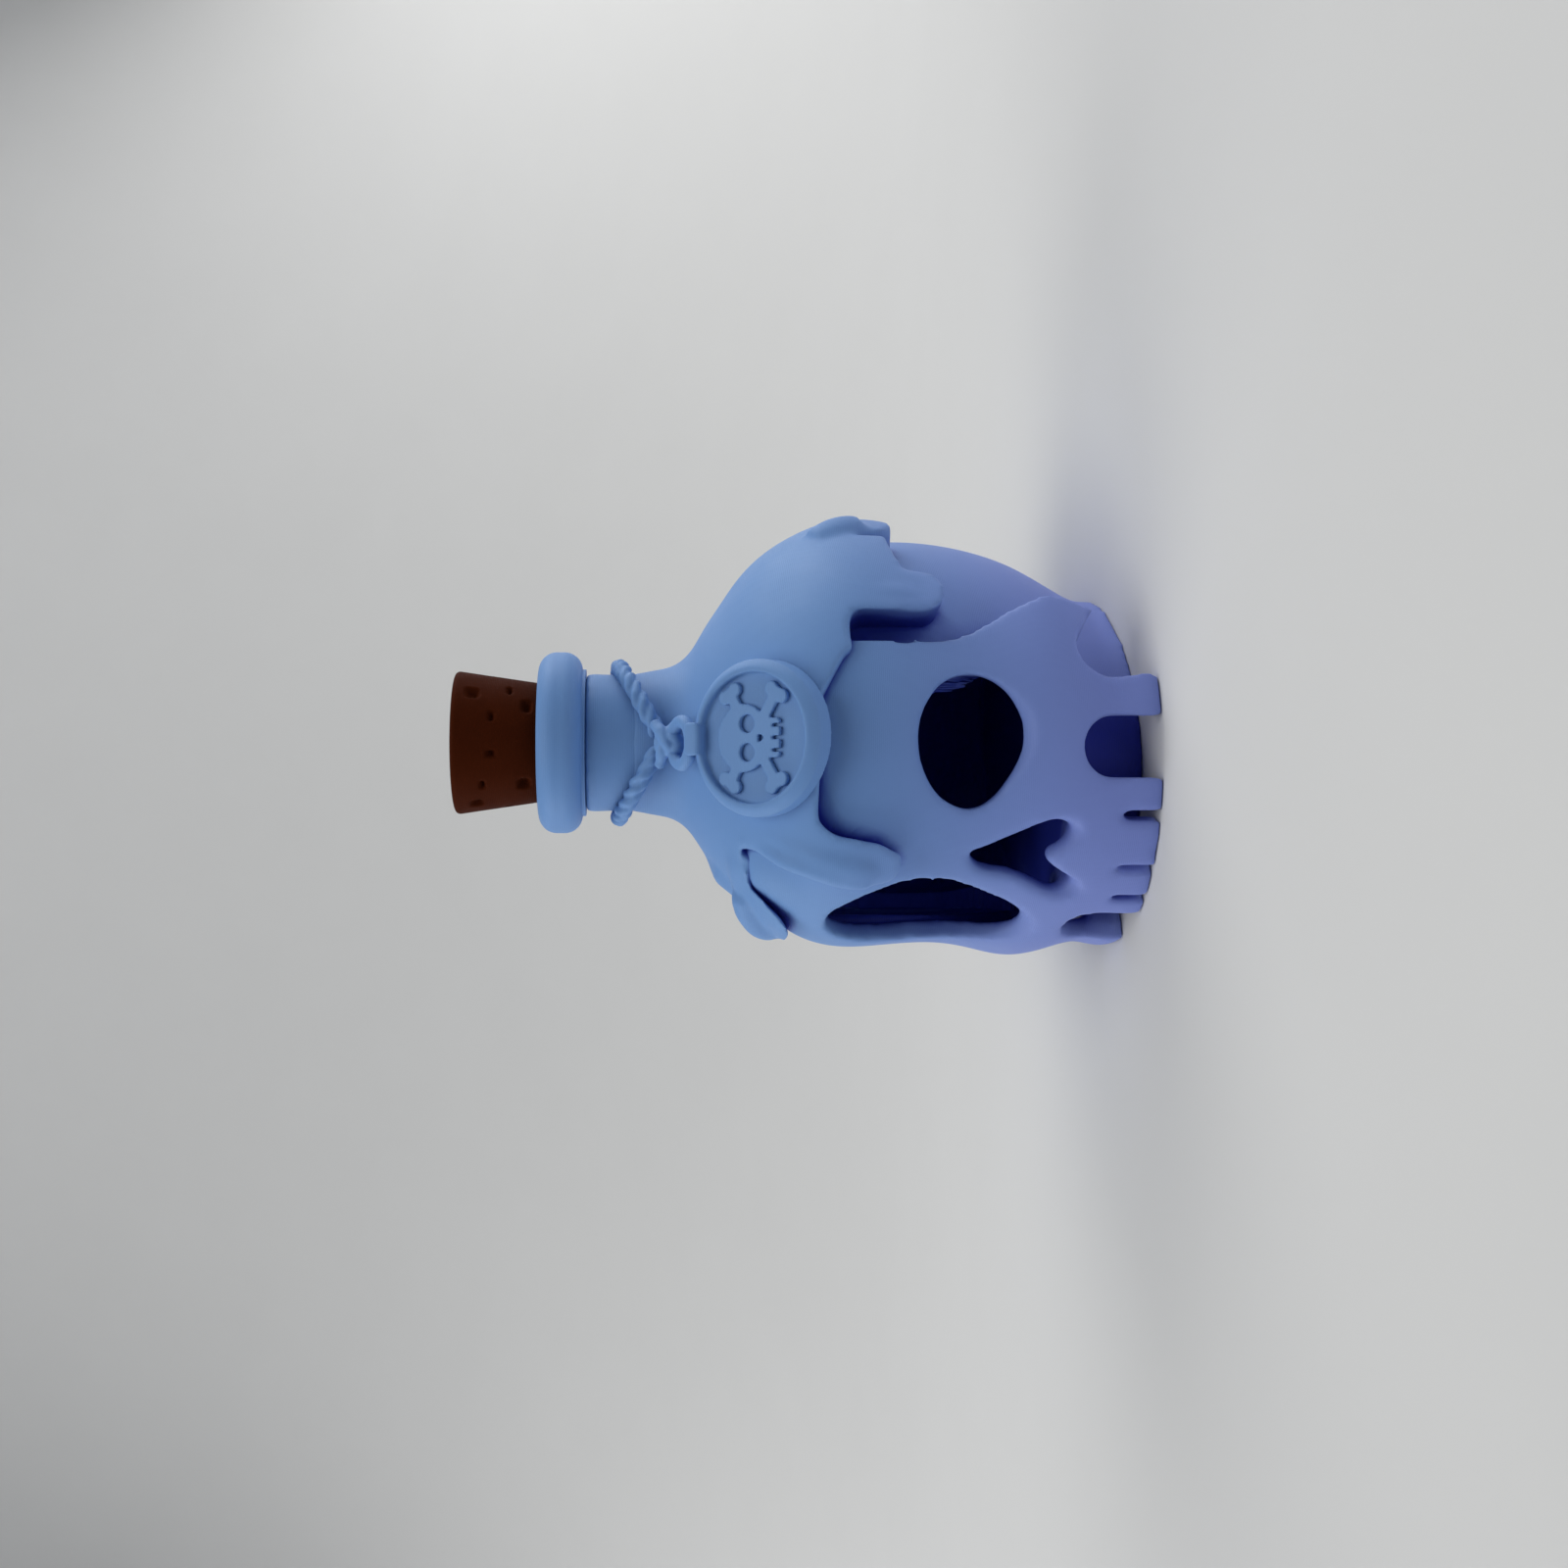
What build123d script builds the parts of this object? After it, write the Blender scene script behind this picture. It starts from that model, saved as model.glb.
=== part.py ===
"""A skull-shaped poison bottle with a slime coat, a rope, a round medallion and a tapered cork.

Millimetres, +Z up, the origin on the neck's axis at floor level. The skull looks along -Y, and the
medallion hangs a third of the way round to the skull's left, at the azimuth medallion_azimuth.
An azimuth is counted in degrees from -Y towards +X.
"""

from build123d import *
from math import cos, radians, sin, tan, tau
import os

os.makedirs("parts", exist_ok=True)

# Bulb of the bottle, the round part behind the face
bulb_height = 50.0
bulb_depth = 46.2
bulb_width = 42.6
bulb_setback = 4.0
bulb_wall = 1.8
cavity_floor = 9.0

# Neck, lip and cork
neck_radius = 8.0
neck_height = 10.1
neck_bore = 11.4
neck_foot_share = 0.975
neck_foot_radius_share = 1.09
neck_start_share = 1.03
neck_rows = 4
bore_foot_share = 0.955
bore_foot_radius_share = 1.12
bore_start_share = 0.985
lip_height = 5.5
lip_radius = 10.6
lip_edge_round = 2.1
lip_ledge_height = 0.4
lip_ledge_set_in = 2.0
cork_seat_depth = 8.0
cork_seat_radius = 7.0
cork_taper_degrees = 8.4
cork_proud = 9.75
cork_edge_round = 0.5
cork_clearance = 0.12

# Face of the skull
face_drop = 5.3
face_depth = 43.6
cheek_overhang = 2.8
face_forward = 2.3
face_wall = 2.3
temple_depth = 11.8
recess_ceiling = 7.2
recess_back = 9.5
tooth_height = 4.0
notch_azimuth = 61.0
notch_half_width = 4.5
notch_height = 8.2
arch_width = 6.4
arch_height = 8.1
arch_corner_share = 0.48

# Sockets: the azimuth and height of the middle, the half width and the half height
right_eye_azimuth = 31.6
right_eye_middle = 19.6
right_eye_half_width = 6.9
right_eye_half_height = 5.4
left_eye_azimuth = -23.5
left_eye_middle = 23.0
left_eye_half_width = 6.5
left_eye_half_height = 10.7
nose_azimuth = 0.5
nose_middle = 13.7
nose_half_width = 4.1
nose_half_height = 5.2
socket_rim = 1.2
socket_flare = 1.0
opening_lip = 1.0
opening_top = 33.5

# Coat of slime over the shoulders, with its aprons and drips
coat_thickness = 2.1
coat_band_drop = 7.1
coat_rise = 4.8
apron_width = 12.0
apron_drop = 9.8
apron_corner = 1.3
drip_width = 5.0
drip_taper_share = 0.88
drip_bead_share = 0.95

# Medallion, on a slope over the shoulder
medallion_azimuth = 33.0
medallion_slope_degrees = 42.0
medallion_radius = 8.33
medallion_rim_width = 1.45
medallion_rim_height = 1.0
medallion_depth = 8.5
medallion_forward = 0.45
medallion_lap = 0.6
rim_round = 0.4
emblem_height = 0.6
emblem_skull_width = 7.2
emblem_bone_length = 12.5
emblem_bone_width = 1.25
emblem_bone_degrees = 33.0
bone_knob_share = 0.62

# Rope, knot, ring and clasp
rope_radius = 0.95
rope_bedding_share = 0.75
rope_drop = 3.9
rope_over_knot = 1.0
rope_gap_degrees = 7.0
knot_radius = 1.2
knot_length = 4.7
knot_forward = 1.4
knot_rise = 0.8
ring_radius = 2.35
ring_wire_radius = 0.62
ring_hang = 1.36
ring_rise_degrees = 23.0
clasp_width = 4.0
clasp_wall = 0.6
clasp_inside = 0.35
clasp_outside = 0.5

# Every cut runs this far past what it cuts
overrun = 2.0

# Heights and widths that follow
neck_top = bulb_height + neck_height
face_height = bulb_height - face_drop
face_width = bulb_width + 2 * cheek_overhang
coat_band = bulb_height - coat_band_drop

# Level sections of the bulb, from the floor to the neck, as shares of the bulb's sizes: the height,
# the half depth, the half width, and how far the section's centre sits back
BULB_SHARES = [
    (0.0, 0.844, 0.695, 0.38),
    (0.09, 0.879, 0.732, 0.55),
    (0.20, 0.944, 0.873, 0.75),
    (0.32, 0.983, 0.962, 0.93),
    (0.44, 1.0, 1.0, 1.0),
    (0.56, 0.987, 0.995, 0.98),
    (0.68, 0.931, 0.944, 0.83),
    (0.78, 0.818, 0.845, 0.60),
    (0.86, 0.680, 0.714, 0.33),
    (0.93, 0.498, 0.540, 0.10),
]

# Level sections of the face, in the same order, as shares of the face's sizes
FACE_SHARES = [
    (0.0, 1.028, 0.892, 1.0),
    (0.098, 1.028, 0.880, 1.0),
    (0.179, 1.018, 0.950, 1.0),
    (0.260, 1.0, 1.0, 1.0),
    (0.347, 0.977, 0.963, 1.0),
    (0.436, 0.963, 0.929, 1.0),
    (0.582, 0.977, 0.938, 1.0),
    (0.702, 0.972, 0.950, 1.0),
    (0.783, 0.927, 0.917, 0.95),
    (0.861, 0.839, 0.830, 0.75),
    (0.928, 0.693, 0.685, 0.50),
    (1.0, 0.486, 0.477, 0.17),
]

# Level sections of the slime coat over bulb and face together, as shares of the bulb's height and
# of the sizes that the coat covers: the height, the front, the back and the half width
COAT_SHARES = [
    (0.36, 0.985, 1.0, 0.955),
    (0.46, 1.0, 1.02, 0.955),
    (0.56, 1.0, 1.0, 0.955),
    (0.64, 0.99, 0.955, 0.945),
    (0.71, 0.945, 0.885, 0.90),
    (0.78, 0.845, 0.80, 0.815),
    (0.84, 0.715, 0.695, 0.695),
    (0.89, 0.565, 0.56, 0.55),
    (0.93, 0.445, 0.42, 0.44),
    (0.965, 0.335, 0.305, 0.335),
    (1.0, 0.284, 0.255, 0.284),
]

# Level circles in which the slime coat runs out up the neck, as shares of its rise over the bulb and
# of its thickness
COLLAR_SHARES = [(0.4, 0.24), (0.7, 0.11), (1.0, 0.055)]

# Side view of the face's rear edge, from the forehead down the temple to the cheekbone's tip, as
# shares of the temple's depth and of the face's height
TEMPLE_SHARES = [
    (1.0, 0.77),
    (1.02, 0.69),
    (0.99, 0.54),
    (0.91, 0.43),
    (0.80, 0.36),
    (0.69, 0.28),
    (0.60, 0.20),
    (0.52, 0.112),
]

# Outline of the notch between the cheekbone and the side tooth, from the tooth up and over to the
# cheekbone's tip, as shares of the notch's half width and height
NOTCH_SHARES = [(-1.0, 0.55), (-0.90, 0.83), (-0.58, 0.99), (-0.05, 0.97), (0.50, 0.80), (1.02, 0.60)]

# Outlines of the eye sockets and the nose, as shares of their half widths and half heights
RIGHT_EYE_SHARES = [
    (-1.0, 0.10), (-0.75, 0.66), (-0.12, 1.0), (0.50, 0.91), (0.95, 0.42),
    (0.985, -0.32), (0.58, -0.86), (0.0, -1.0), (-0.58, -0.70), (-0.90, -0.36),
]
LEFT_EYE_SHARES = [
    (1.0, 0.04), (0.89, 0.39), (0.50, 0.71), (-0.08, 0.95), (-0.58, 0.93),
    (-0.93, 0.58), (-1.0, 0.05), (-0.86, -0.51), (-0.52, -0.90), (-0.08, -1.0),
    (0.36, -0.88), (0.74, -0.52),
]
NOSE_SHARES = [
    (0.12, 1.0), (0.56, 0.31), (0.92, -0.20), (1.10, -0.58), (0.85, -0.91),
    (0.43, -0.76), (0.0, -0.45), (-0.36, -0.76), (-0.74, -1.05), (-1.02, -0.90),
    (-0.87, -0.36), (-0.56, 0.24), (-0.16, 1.0),
]

# Arches in the jaw beside the front teeth: the azimuth, and the width and height as shares
ARCH_SHARES = [(30.6, 1.0, 1.0), (-25.6, 1.0, 0.94)]

# Teeth, from the skull's right to its left: the name and the azimuths of the two sides
TEETH = [
    ("side_tooth_right", -56.0, -33.2),
    ("front_tooth_1", -18.2, -12.1),
    ("front_tooth_2", -10.1, -1.9),
    ("front_tooth_3", 0.0, 12.0),
    ("front_tooth_4", 14.6, 23.4),
    ("side_tooth_left", 38.4, 56.0),
]

# Aprons of slime: the azimuth, then as shares the apron's width and how far its edge lies under the
# band on its left and on its right. An apron with a drip goes on with the drip's width, how far its
# tip lies under the band, how far the tip strays sideways, and how far all lies beside the azimuth
APRON_SHARES = [
    (-46.0, 0.98, 0.58, 0.60),
    (-26.0, 0.47, 0.60, 0.06),
    (5.5, 0.78, 0.0, 0.75, 1.16, 1.65, -0.36, 0.0),
    (32.0, 1.75, 0.75, 0.76),
    (50.0, 0.52, 0.76, 1.12),
    (60.5, 0.42, 1.12, 1.12),
    (48.0, 0.70, 1.12, 1.75, 1.12, 2.17, -0.12, 2.14),
    (89.5, 0.68, 1.75, 1.67),
    (108.5, 0.80, 1.21, 1.21, 1.30, 1.79, 0.0, 0.0),
    (125.0, 0.75, 1.15, 1.15),
    (140.0, 1.08, 1.16, 1.16, 1.0, 1.57, 0.0, 0.0),
    (166.0, 1.04, 1.11, 1.11, 1.0, 2.08, 0.0, 0.0),
    (194.0, 1.08, 1.11, 1.11, 1.12, 2.46, 0.0, 0.0),
    (222.0, 1.08, 0.96, 0.96, 0.92, 1.48, 0.0, 0.0),
    (248.0, 1.0, 0.86, 0.86, 1.0, 1.91, 0.0, 0.0),
    (272.0, 0.92, 0.65, 0.65, 0.88, 1.13, 0.0, 0.0),
]

# Emblem's parts, as shares of half its skull's width: the half sizes and heights of the crown and
# of the jaw, the places of the eyes, the nose and the gaps between the teeth
crown_height_share = 0.92
crown_rise_share = 0.35
jaw_width_share = 1.15
jaw_height_share = 0.85
jaw_drop_share = 0.55
jaw_corner_share = 0.12
emblem_eye_share = 0.27
emblem_eye_side_share = 0.42
emblem_eye_rise_share = 0.20
emblem_nose_share = 0.17
emblem_nose_drop_share = 0.28
emblem_gap_pitch_share = 0.36
emblem_gap_width_share = 0.10
emblem_gap_height_share = 0.34
emblem_gap_drop_share = 0.87


def facing(azimuth, radius=0.0):
    """Upright plane that faces outwards at an azimuth, its own y along +Z."""
    turn = radians(azimuth)
    outwards = Vector(sin(turn), -cos(turn), 0)
    return Plane(origin=outwards * radius, x_dir=(cos(turn), sin(turn), 0), z_dir=outwards)


def oval_points(half_depth, half_width, forward, count=12):
    """Points round a level oval, from its back, whose middle lies forward of the axis."""
    steps = [tau * step / count for step in range(count)]
    return [(half_width * sin(step), half_depth * cos(step) - forward) for step in steps]


def oval_body(sections):
    """Smooth body through level ovals: the height, half depth, half width and forward shift."""
    with BuildPart() as body:
        for height, half_depth, half_width, forward in sections:
            with BuildSketch(Plane.XY.offset(height)):
                with BuildLine():
                    Spline(*oval_points(half_depth, half_width, forward), periodic=True)
                make_face()
        loft()
    return body.part


def bulb_sections(inset=0.0, drop=0.0, lowest=0.0):
    """Sections of the bulb and the start of the neck, set in and let down by a wall."""
    rows = []
    for height_share, depth_share, width_share, setback_share in BULB_SHARES:
        height = bulb_height * height_share
        if height >= lowest:
            rows.append((
                height - drop * height_share,
                bulb_depth / 2 * depth_share - inset,
                bulb_width / 2 * width_share - inset,
                -bulb_setback * setback_share,
            ))
    return rows


def face_sections(inset=0.0):
    """Sections of the face, set in by its wall."""
    return [
        (
            face_height * height_share,
            face_depth / 2 * depth_share - inset,
            face_width / 2 * width_share - inset,
            face_forward * forward_share,
        )
        for height_share, depth_share, width_share, forward_share in FACE_SHARES
    ]


def coat_sections():
    """Sections of the slime coat's outside, wider than bulb and face by its thickness."""
    front = face_depth / 2 + face_forward
    back = bulb_depth / 2 + bulb_setback
    rows = []
    for height_share, front_share, back_share, width_share in COAT_SHARES:
        ahead = front * front_share + coat_thickness
        behind = back * back_share + coat_thickness
        rows.append((
            bulb_height * height_share,
            (ahead + behind) / 2,
            face_width / 2 * width_share + coat_thickness,
            (ahead - behind) / 2,
        ))
    for rise_share, thickness_share in COLLAR_SHARES:
        radius = neck_radius + coat_thickness * thickness_share
        rows.append((bulb_height + coat_rise * rise_share, radius, radius, 0))
    return rows


# Whole outer body of the bulb and the neck
foot_radius = neck_radius * neck_foot_radius_share
neck_foot = (bulb_height * neck_foot_share, foot_radius, foot_radius, 0)
neck_start = bulb_height * neck_start_share
neck_sections = [
    (neck_start + (neck_top - neck_start) * row / neck_rows, neck_radius, neck_radius, 0)
    for row in range(neck_rows + 1)
]
flask_outside = oval_body(bulb_sections() + [neck_foot] + neck_sections)

# Hollow of the bottle, from its floor up into the bore of the neck
bore_radius = neck_bore / 2
hollow_rows = bulb_sections(bulb_wall, bulb_wall, cavity_floor)
hollow_rows = [(cavity_floor,) + hollow_rows[0][1:]] + hollow_rows[1:]
bore_start = bulb_height * bore_start_share
bore_foot_radius = bore_radius * bore_foot_radius_share
hollow_rows += [(bulb_height * bore_foot_share, bore_foot_radius, bore_foot_radius, 0)]
hollow_rows += [
    (bore_start + (neck_top + overrun - bore_start) * row / neck_rows, bore_radius, bore_radius, 0)
    for row in range(neck_rows + 1)
]
bulb_hollow = oval_body(hollow_rows)

# Whole face, and the space inside its wall
face_outside = oval_body(face_sections())
face_inside = oval_body(face_sections(face_wall))


def side_points(shares, set_in=0.0):
    """Side view points, with the front along -Y, set in towards the front."""
    return [(-temple_depth * depth - set_in, face_height * height) for depth, height in shares]


def side_block(draw_edge):
    """Block as wide as the face, whose side view a function draws."""
    with BuildPart() as block:
        with BuildSketch(Plane.YZ):
            with BuildLine():
                draw_edge()
            make_face()
        extrude(amount=face_width / 2 + overrun, both=True)
    return block.part


def temple_block(set_in=0.0):
    """Block that holds all in front of the temples, its rear edge set in by a wall."""
    temple = side_points(TEMPLE_SHARES, set_in)
    front = -face_depth / 2 - face_forward - overrun
    top = face_height + overrun

    def draw_edge():
        Spline(*temple)
        Polyline(
            temple[-1],
            (temple[-1][0], -overrun),
            (front, -overrun),
            (front, top),
            (temple[0][0], top),
            temple[0],
        )

    return side_block(draw_edge)


def notch_cutter(side):
    """Cutter for the notch under a cheekbone, open to the floor, on the side +1 or -1."""
    edge = [(side * notch_half_width * a, notch_height * b) for a, b in NOTCH_SHARES]
    with BuildPart() as cutter:
        with BuildSketch(facing(side * notch_azimuth)):
            with BuildLine():
                Spline(*edge, tangents=[(0, 1), (side, -1)])
                Polyline(
                    edge[-1],
                    (side * face_width / 2, edge[-1][1]),
                    (side * face_width / 2, -overrun),
                    (edge[0][0], -overrun),
                    edge[0],
                )
            make_face()
        extrude(amount=face_width)
    return cutter.part


def level_slab(bottom, top):
    """Wide level slab between two heights."""
    with BuildPart() as slab:
        with BuildSketch(Plane.XY.offset(bottom)):
            Rectangle(2 * face_width, 2 * face_width)
        extrude(amount=top - bottom)
    return slab.part


def behind_block(depth):
    """Block of all that lies further forward than a depth."""
    with BuildPart() as block:
        with BuildSketch(Plane.XZ.offset(depth)):
            Rectangle(2 * face_width, 4 * face_height)
        extrude(amount=face_width)
    return block.part


# Tapered seat for the cork, from the top of the lip down into the neck
lip_top = neck_top + lip_height
cork_slope = tan(radians(cork_taper_degrees))
with BuildPart() as mouth_cone:
    with BuildSketch(Plane.XZ):
        with BuildLine():
            wide = cork_seat_radius + cork_clearance
            Polyline(
                (0, lip_top + overrun),
                (wide + overrun * cork_slope, lip_top + overrun),
                (wide - cork_seat_depth * cork_slope, lip_top - cork_seat_depth),
                (0, lip_top - cork_seat_depth),
                close=True,
            )
        make_face()
    revolve(axis=Axis.Z)

# Opening in the front of the bulb, behind the face, with a rim for the face to seat on
with BuildPart() as bulb_opening:
    add(temple_block(opening_lip))
    add(level_slab(cavity_floor, opening_top), mode=Mode.INTERSECT)

with BuildPart() as bottle_flask:
    add(flask_outside)
    add(bulb_hollow, mode=Mode.SUBTRACT)
    add(bulb_opening.part, mode=Mode.SUBTRACT)
    add(mouth_cone.part, mode=Mode.SUBTRACT)
bottle_flask.part.label = "bottle_flask"
export_step(bottle_flask.part, "parts/bottle_flask.step")


def outline_points(opening, shares, swell=1.0):
    """Outline of a socket in its facing plane, from its size and shares, swollen by a factor."""
    azimuth, middle, half_width, half_height = opening
    return [(half_width * swell * a, middle + half_height * swell * b) for a, b in shares]


def socket_cutter(opening, shares, surface):
    """Cutter for a hole through the face, with a rim that flares outwards at the surface."""
    azimuth, middle, half_width, half_height = opening
    flare = 1 + 2 * socket_flare / (half_width + half_height)
    spread = 1 + (flare - 1) * (socket_rim + overrun) / socket_rim
    stations = [
        (surface - face_wall - 2 * overrun, 1.0),
        (surface - socket_rim, 1.0),
        (surface + overrun, spread),
    ]
    with BuildPart() as cutter:
        for radius, swell in stations:
            with BuildSketch(facing(azimuth, radius)):
                with BuildLine():
                    Spline(*outline_points(opening, shares, swell), periodic=True)
                make_face()
        loft(ruled=True)
    return cutter.part


def arch_cutter(azimuth, width, height, surface):
    """Cutter for an arch in the jaw, from the floor up, with a round top."""
    with BuildPart() as cutter:
        with BuildSketch(facing(azimuth, surface - face_wall - overrun)):
            with Locations((0, height / 2 - overrun / 2)):
                Rectangle(width, height + overrun)
            fillet(vertices().group_by(Axis.Y)[-1], width * arch_corner_share)
        extrude(amount=face_wall + 3 * overrun)
    return cutter.part


def surface_radius(opening_azimuth):
    """Rough radius of the face's outside at an azimuth, from its widest section."""
    turn = radians(opening_azimuth)
    ahead = (face_depth / 2 + face_forward) * abs(cos(turn))
    aside = face_width / 2 * abs(sin(turn))
    return (ahead ** 2 + aside ** 2) ** 0.5


# Face block without its hollows, which is what the slime lies on
with BuildPart() as face_block:
    add(face_outside)
    add(temple_block(), mode=Mode.INTERSECT)
    for side in (-1, 1):
        add(notch_cutter(side), mode=Mode.SUBTRACT)

# Hollow behind the face above the cavity's floor, and the recess behind the jaw
with BuildPart() as face_hollow:
    add(face_inside)
    add(temple_block(face_wall), mode=Mode.INTERSECT)
    add(level_slab(cavity_floor, face_height + overrun), mode=Mode.INTERSECT)
with BuildPart() as jaw_recess:
    add(face_inside)
    add(behind_block(recess_back), mode=Mode.INTERSECT)
    add(level_slab(-overrun, recess_ceiling), mode=Mode.INTERSECT)

# Skull's face with its sockets, nose and jaw, still with the teeth on
right_eye = (right_eye_azimuth, right_eye_middle, right_eye_half_width, right_eye_half_height)
left_eye = (left_eye_azimuth, left_eye_middle, left_eye_half_width, left_eye_half_height)
nose = (nose_azimuth, nose_middle, nose_half_width, nose_half_height)
with BuildPart() as face_shell:
    add(face_block.part)
    add(face_hollow.part, mode=Mode.SUBTRACT)
    add(jaw_recess.part, mode=Mode.SUBTRACT)
    add(flask_outside, mode=Mode.SUBTRACT)
    for opening, shares in (
        (right_eye, RIGHT_EYE_SHARES), (left_eye, LEFT_EYE_SHARES), (nose, NOSE_SHARES),
    ):
        add(socket_cutter(opening, shares, surface_radius(opening[0])), mode=Mode.SUBTRACT)
    for azimuth, width_share, height_share in ARCH_SHARES:
        width, height = arch_width * width_share, arch_height * height_share
        add(arch_cutter(azimuth, width, height, surface_radius(azimuth)), mode=Mode.SUBTRACT)

with BuildPart() as skull_face:
    add(face_shell.part)
    add(level_slab(-overrun, tooth_height), mode=Mode.SUBTRACT)
skull_face.part.label = "skull_face"
export_step(skull_face.part, "parts/skull_face.step")

# Teeth, each cut from the jaw's foot between two upright planes through the axis
for name, first, last in TEETH:
    reach = face_depth
    with BuildPart() as tooth:
        with BuildSketch():
            Polygon(
                (0, 0),
                (reach * sin(radians(first)), -reach * cos(radians(first))),
                (reach * sin(radians(last)), -reach * cos(radians(last))),
                align=None,
            )
        extrude(amount=tooth_height)
        add(face_shell.part, mode=Mode.INTERSECT)
    tooth.part.label = name
    export_step(tooth.part, f"parts/{name}.step")

# Slime coat: its outside cut off along aprons and drips, over the bulb and the face
coat_outside = oval_body(coat_sections())


def apron_outline(width_share, left_share, right_share):
    """Line round an apron of slime in its facing plane."""
    half = apron_width / 2 * width_share
    left = coat_band - apron_drop * left_share
    right = coat_band - apron_drop * right_share
    Polyline((-half, neck_top), (-half, left), (half, right), (half, neck_top), close=True)


def drip_outline(
    apron_share, left_share, right_share, width_share, tip_share, stray_share, aside_share
):
    """Line round an apron of slime with a round-ended drip below it, in its facing plane."""
    half = apron_width / 2 * apron_share
    left = coat_band - apron_drop * left_share
    right = coat_band - apron_drop * right_share
    tip = coat_band - apron_drop * tip_share
    middle = drip_width * aside_share
    side = drip_width / 2 * width_share
    stray = middle + drip_width * stray_share
    tip_side = side * drip_taper_share
    bead = tip_side * drip_bead_share
    FilletPolyline(
        (middle - half, neck_top),
        (middle - half, left),
        (middle - side, left),
        (stray - tip_side, tip),
        (stray + tip_side, tip),
        (middle + side, right),
        (middle + half, right),
        (middle + half, neck_top),
        radius=[0, 0, apron_corner, bead, bead, apron_corner, 0, 0],
        close=True,
    )


with BuildPart() as drip_region:
    add(level_slab(coat_band, neck_top))
    for azimuth, *shares in APRON_SHARES:
        draw_outline = drip_outline if len(shares) > 3 else apron_outline
        with BuildSketch(facing(azimuth, neck_radius)):
            with BuildLine():
                draw_outline(*shares)
            make_face()
        extrude(amount=face_depth)
with BuildPart() as drip_coat:
    add(coat_outside)
    add(flask_outside, mode=Mode.SUBTRACT)
    add(face_block.part, mode=Mode.SUBTRACT)
    add(drip_region.part, mode=Mode.INTERSECT)
drip_coat.part.label = "drip_coat"
export_step(drip_coat.part, "parts/drip_coat.step")

# Lip round the mouth, on the neck's top, with a thin ledge under it
with BuildPart() as bottle_lip:
    with BuildSketch(Plane.XY.offset(neck_top + lip_ledge_height)):
        Circle(lip_radius)
    extrude(amount=lip_height - lip_ledge_height)
    fillet(edges(), lip_edge_round)
    with BuildSketch(Plane.XY.offset(neck_top)):
        Circle(lip_radius - lip_ledge_set_in)
    extrude(amount=lip_height / 2)
    add(mouth_cone.part, mode=Mode.SUBTRACT)
bottle_lip.part.label = "bottle_lip"
export_step(bottle_lip.part, "parts/bottle_lip.step")

# Cork, tapered, with its edges broken
cork_bottom = lip_top - cork_seat_depth
cork_top = lip_top + cork_proud
with BuildPart() as cork:
    with BuildSketch(Plane.XZ):
        with BuildLine():
            Polyline(
                (0, cork_bottom),
                (cork_seat_radius - cork_seat_depth * cork_slope, cork_bottom),
                (cork_seat_radius + cork_proud * cork_slope, cork_top),
                (0, cork_top),
                close=True,
            )
        make_face()
    revolve(axis=Axis.Z)
    fillet(edges().filter_by(GeomType.CIRCLE), cork_edge_round)
cork.part.label = "cork"
export_step(cork.part, "parts/cork.step")

# The knot lies in front of the rope, the ring hangs from the knot and rises inwards, and the
# medallion hangs from the ring, its rim square to its slope
medallion_facing = facing(medallion_azimuth)
outwards = medallion_facing.z_dir
upwards = Vector(0, 0, 1)
rope_path_radius = neck_radius + rope_bedding_share * rope_radius
rise = radians(ring_rise_degrees)
slope = radians(medallion_slope_degrees)
knot_height = bulb_height + knot_rise
knot_middle = outwards * (rope_path_radius + knot_forward) + upwards * knot_height
ring_inwards = upwards * sin(rise) - outwards * cos(rise)
ring_middle = knot_middle - ring_inwards * (ring_radius + ring_hang)
ring_foot = ring_middle - ring_inwards * ring_radius
rim_outwards = outwards * cos(slope) + upwards * sin(slope)
rim_upwards = upwards * cos(slope) - outwards * sin(slope)
rim_drop = medallion_radius + ring_wire_radius - medallion_lap
medallion_middle = ring_foot - rim_upwards * rim_drop + rim_outwards * medallion_forward
medallion_plane = Plane(origin=medallion_middle, x_dir=medallion_facing.x_dir, z_dir=rim_outwards)
dish_plane = medallion_plane.offset(-medallion_rim_height)
dish_radius = medallion_radius - medallion_rim_width

with BuildPart() as medallion_disc:
    with BuildSketch(dish_plane):
        Circle(medallion_radius)
    extrude(amount=-medallion_depth)
    add(coat_outside, mode=Mode.SUBTRACT)
    add(flask_outside, mode=Mode.SUBTRACT)
    add(face_block.part, mode=Mode.SUBTRACT)
medallion_disc.part.label = "medallion_disc"
export_step(medallion_disc.part, "parts/medallion_disc.step")

with BuildPart() as medallion_rim:
    with BuildSketch(dish_plane):
        Circle(medallion_radius)
        Circle(dish_radius, mode=Mode.SUBTRACT)
    extrude(amount=medallion_rim_height)
    fillet(edges().group_by(Axis(medallion_middle, medallion_plane.z_dir))[-1], rim_round)
medallion_rim.part.label = "medallion_rim"
export_step(medallion_rim.part, "parts/medallion_rim.step")

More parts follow.
